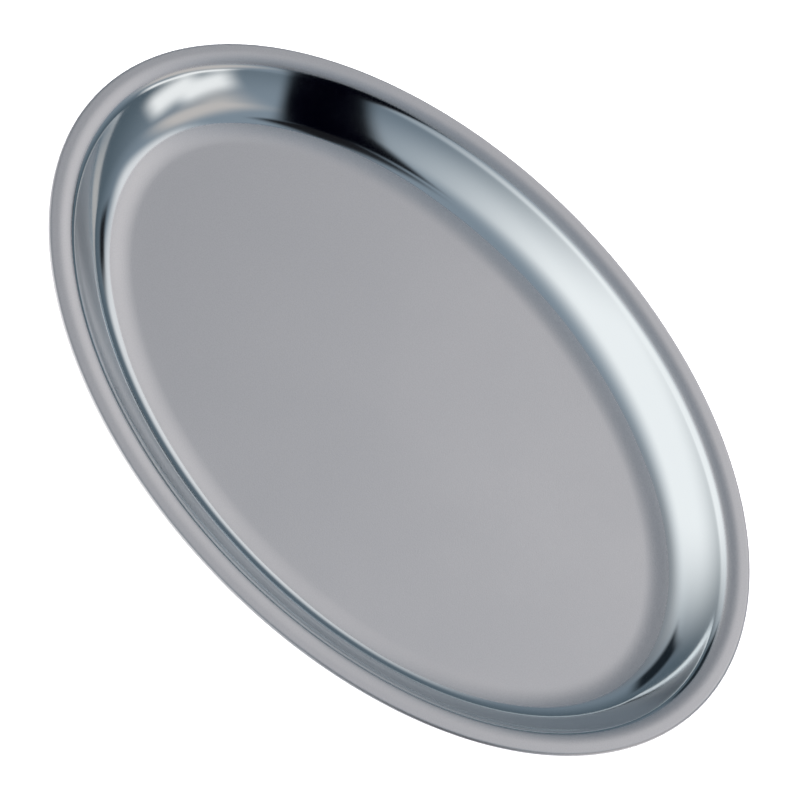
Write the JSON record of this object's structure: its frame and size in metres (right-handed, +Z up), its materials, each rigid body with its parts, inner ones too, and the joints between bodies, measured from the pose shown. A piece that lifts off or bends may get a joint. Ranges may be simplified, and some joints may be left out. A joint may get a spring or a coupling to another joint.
{
  "type": "oval dish",
  "caption": "Shallow oval dish pressed from sheet steel, with a flat satin floor, a sloping mirror-polished wall and a narrow satin rim, open at the top",
  "frame": {"origin": "centre of the flat underside, on the surface that the dish stands on", "axes": "+X along the long axis of the oval, +Y across it, +Z up out of the open top"},
  "size_m": [0.26, 0.18, 0.0137],
  "materials": {
    "stainless_steel": "satin floor and rim, mirror-polished wall"
  },
  "bodies": {
    "root": {"dish_body": "stainless_steel"}
  },
  "joints": []
}
